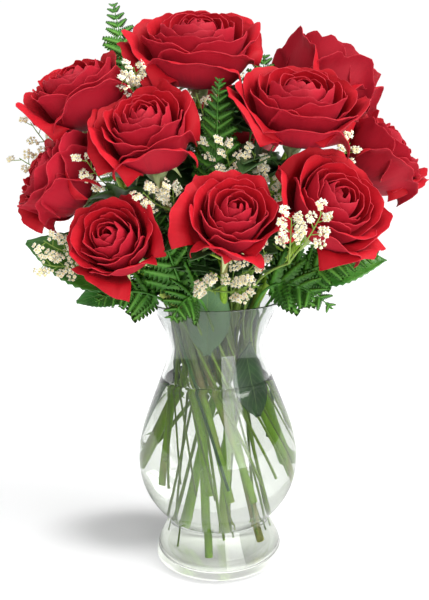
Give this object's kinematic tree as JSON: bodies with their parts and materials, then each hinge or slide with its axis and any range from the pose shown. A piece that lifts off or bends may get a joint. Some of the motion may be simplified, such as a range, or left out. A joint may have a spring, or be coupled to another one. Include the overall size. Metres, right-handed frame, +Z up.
{
  "type": "vase of roses",
  "caption": "Hand-tied bouquet of red roses with fern, salal leaves and white statice, standing in a waisted clear glass vase of water.",
  "frame": {"origin": "middle of the vase's flat underside", "axes": "+Z up along the vase's axis, -Y towards the viewer of the picture, +X to the viewer's right"},
  "size_m": [0.348, 0.2741, 0.4992],
  "materials": {
    "rose_petal": "velvety",
    "rose_stem": "smooth, fresh green",
    "fern": "satin, dark green",
    "salal": "glossy, dark green",
    "statice": "dry, papery, off-white",
    "water": "clear liquid",
    "vase": "clear, polished"
  },
  "bodies": {
    "root": {"bloom_top": "rose_petal", "bloom_upper_left": "rose_petal", "bloom_middle_left": "rose_petal", "bloom_left": "rose_petal", "bloom_lower_left": "rose_petal", "bloom_centre": "rose_petal", "bloom_lower_right": "rose_petal", "bloom_middle_right": "rose_petal", "bloom_upper_right": "rose_petal", "bloom_right": "rose_petal", "bloom_back_left": "rose_petal", "bloom_back": "rose_petal", "stem_top": "rose_stem", "stem_upper_left": "rose_stem", "stem_middle_left": "rose_stem", "stem_left": "rose_stem", "stem_lower_left": "rose_stem", "stem_centre": "rose_stem", "stem_lower_right": "rose_stem", "stem_middle_right": "rose_stem", "stem_upper_right": "rose_stem", "stem_right": "rose_stem", "stem_back_left": "rose_stem", "stem_back": "rose_stem", "fern_tall_left": "fern", "fern_low_left": "fern", "fern_front_up": "fern", "fern_front_down": "fern", "fern_centre_up": "fern", "fern_low_right": "fern", "fern_right": "fern", "fern_tall_right": "fern", "fern_back_right": "fern", "fern_back_left": "fern", "salal_left": "salal", "salal_right": "salal", "salal_back": "salal", "statice_far_left": "statice", "statice_low_left": "statice", "statice_upper_left": "statice", "statice_between_left": "statice", "statice_front_left": "statice", "statice_low_centre": "statice", "statice_centre": "statice", "statice_front_right": "statice", "statice_between_right": "statice", "statice_middle_right": "statice", "statice_upper_right": "statice", "statice_back": "statice", "statice_back_left": "statice", "water": "water", "vase": "vase"}
  },
  "joints": []
}
